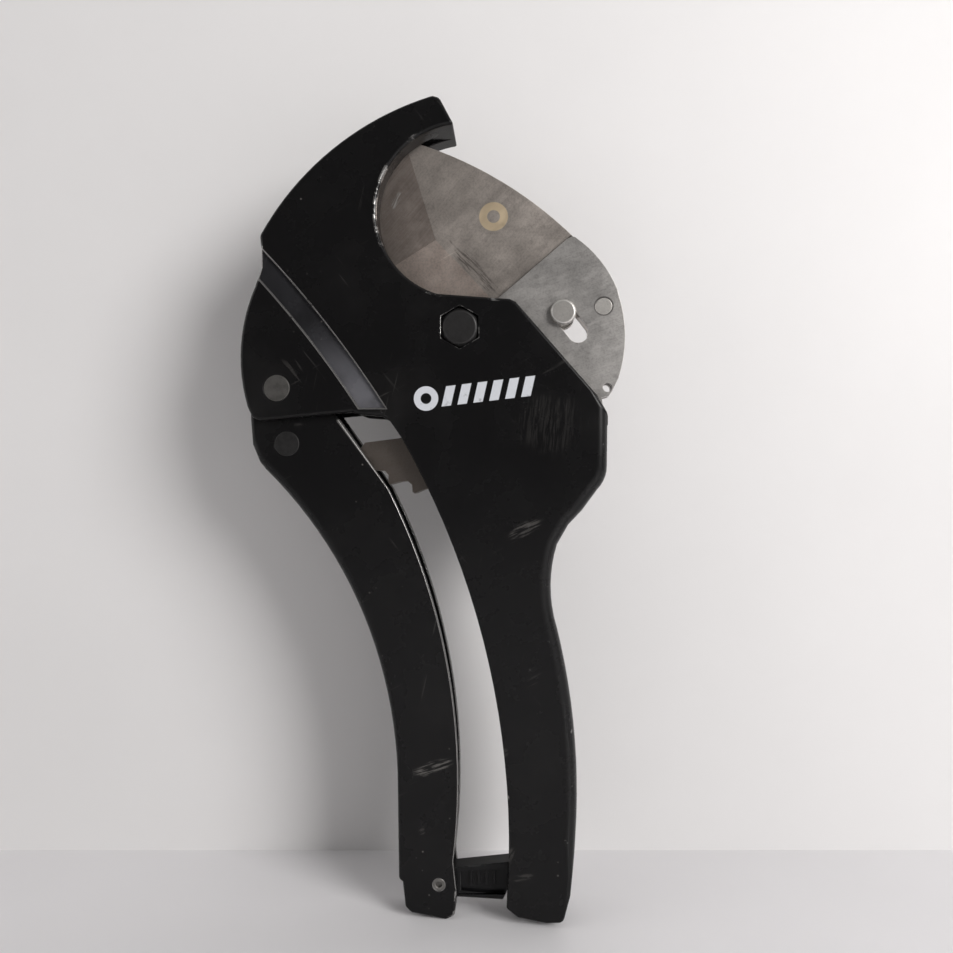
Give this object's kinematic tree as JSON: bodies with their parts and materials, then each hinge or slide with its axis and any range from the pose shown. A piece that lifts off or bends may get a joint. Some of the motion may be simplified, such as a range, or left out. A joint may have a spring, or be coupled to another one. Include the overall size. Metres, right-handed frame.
{
  "type": "ratcheting pipe cutter",
  "caption": "Ratcheting cutter for plastic pipe: cast body with hooked jaw, pivoting blade with toothed carrier, pawl-driven moving handle and end latch.",
  "frame": {"origin": "centre of the seated pipe, midway between the two cheeks", "axes": "+Z from the handles towards the jaw, +X towards the blade's side, Y through the thickness, with the bolt head on -Y"},
  "size_m": [0.1365, 0.02, 0.2907],
  "materials": {
    "black_paint": "gloss powder coat with dust and scuffs",
    "blade_steel": "satin coated steel, ground bevels",
    "carrier_steel": "satin steel",
    "ratchet_steel": "dark heat-treated steel",
    "fastener_dark": "blackened steel",
    "fastener_bright": "worn zinc plate",
    "spring_steel": "spring wire",
    "latch_plastic": "moulded glass-filled nylon"
  },
  "bodies": {
    "casting": {"body_casting": "black_paint", "pivot_bolt": "fastener_dark", "pivot_nut": "fastener_dark", "pivot_sleeve": "fastener_bright", "thrust_washers": "fastener_bright", "handle_rivet": "fastener_bright", "handle_sleeve": "fastener_bright", "holding_pawl_pin": "fastener_bright", "catch_pin": "fastener_bright"},
    "blade_carrier": {"blade": "blade_steel", "carrier_plate_front": "carrier_steel", "carrier_plate_rear": "carrier_steel", "ratchet_sector": "ratchet_steel", "carrier_rivets": "fastener_bright"},
    "lock": {"lock_stud": "fastener_bright", "lock_stud_cap": "fastener_bright"},
    "handle": {"moving_handle": "black_paint", "handle_spring": "spring_steel", "pawl_rivet": "fastener_dark", "latch_pin": "fastener_bright"},
    "drive_pawl": {"drive_pawl": "ratchet_steel", "pawl_spring": "spring_steel"},
    "holding_pawl": {"holding_pawl": "ratchet_steel", "holding_pawl_spring": "spring_steel"},
    "latch": {"latch": "latch_plastic", "latch_spring": "spring_steel"}
  },
  "joints": [
    {"name": "blade_swing", "type": "hinge", "parent": "casting", "child": "blade_carrier", "pos_m": [-0.001, 0, -0.041], "axis": [0, 1, 0], "range_deg": [0, 81]},
    {"name": "lock_slide", "type": "slide", "parent": "blade_carrier", "child": "lock", "axis": [0.6163, 0, -0.7875], "range_m": [0, 0.0085]},
    {"name": "handle_swing", "type": "hinge", "parent": "casting", "child": "handle", "pos_m": [-0.066, 0, -0.062], "axis": [0, 1, 0], "range_deg": [0, 35], "deforming": ["handle_spring"]},
    {"name": "drive_pawl_swing", "type": "hinge", "parent": "handle", "child": "drive_pawl", "pos_m": [-0.0633, 0, -0.0816], "axis": [0, -1, 0], "range_deg": [0, 44], "deforming": ["pawl_spring"]},
    {"name": "holding_pawl_lift", "type": "hinge", "parent": "casting", "child": "holding_pawl", "pos_m": [0.012, 0, -0.112], "axis": [0, 1, 0], "range_deg": [0, 10], "stiffness_Nm_per_rad": 0.05, "deforming": ["holding_pawl_spring"]},
    {"name": "latch_swing", "type": "hinge", "parent": "handle", "child": "latch", "pos_m": [-0.0086, 0, -0.2379], "axis": [0, -1, 0], "range_deg": [-4, 50], "stiffness_Nm_per_rad": 0.01, "deforming": ["latch_spring"]}
  ],
  "couplings": [
    {"joint": "drive_pawl_swing", "follows": "handle_swing", "ratio": 1.25}
  ]
}
